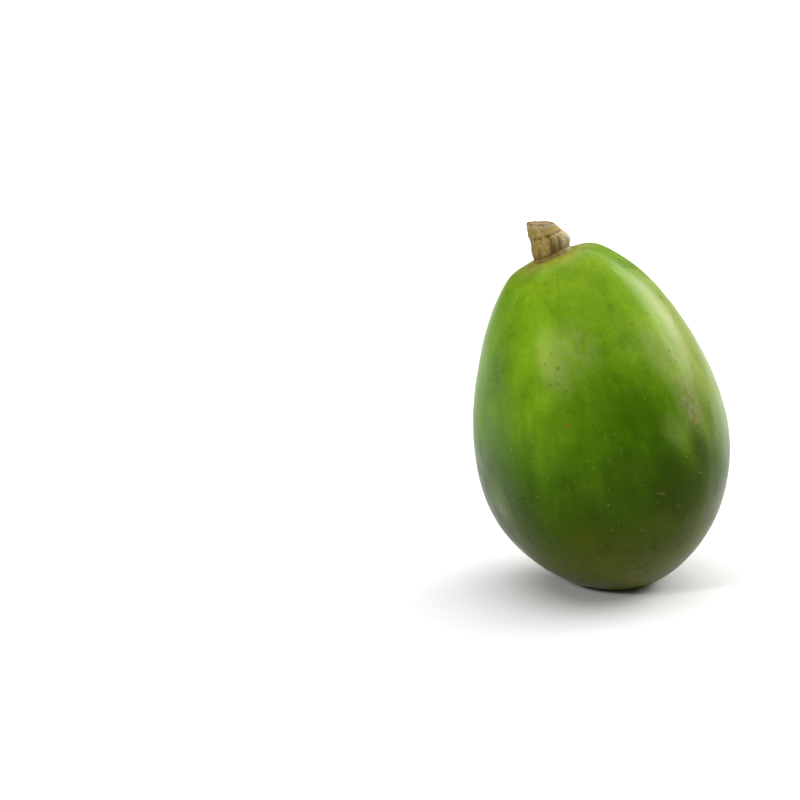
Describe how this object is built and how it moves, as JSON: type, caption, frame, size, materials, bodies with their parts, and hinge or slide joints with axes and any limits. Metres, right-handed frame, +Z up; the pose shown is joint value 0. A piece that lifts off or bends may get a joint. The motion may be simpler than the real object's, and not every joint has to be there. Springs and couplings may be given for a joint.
{
  "type": "ambarella fruit",
  "caption": "Whole green ambarella with a stub of woody stalk, leaning as it stands on a small flat spot at its blossom end.",
  "frame": {"origin": "middle of the small flat resting spot under the fruit", "axes": "+Z up, along the fruit's longest extent; the stem end leans towards -X; +Y points away from the viewer"},
  "size_m": [0.0519, 0.0516, 0.0739],
  "materials": {
    "skin": "smooth waxy skin, satin, mid green with pale specks and a darker underside",
    "stalk": "dry brown bark, matt and knobby"
  },
  "bodies": {
    "root": {"fruit": "skin", "stem": "stalk"}
  },
  "joints": []
}
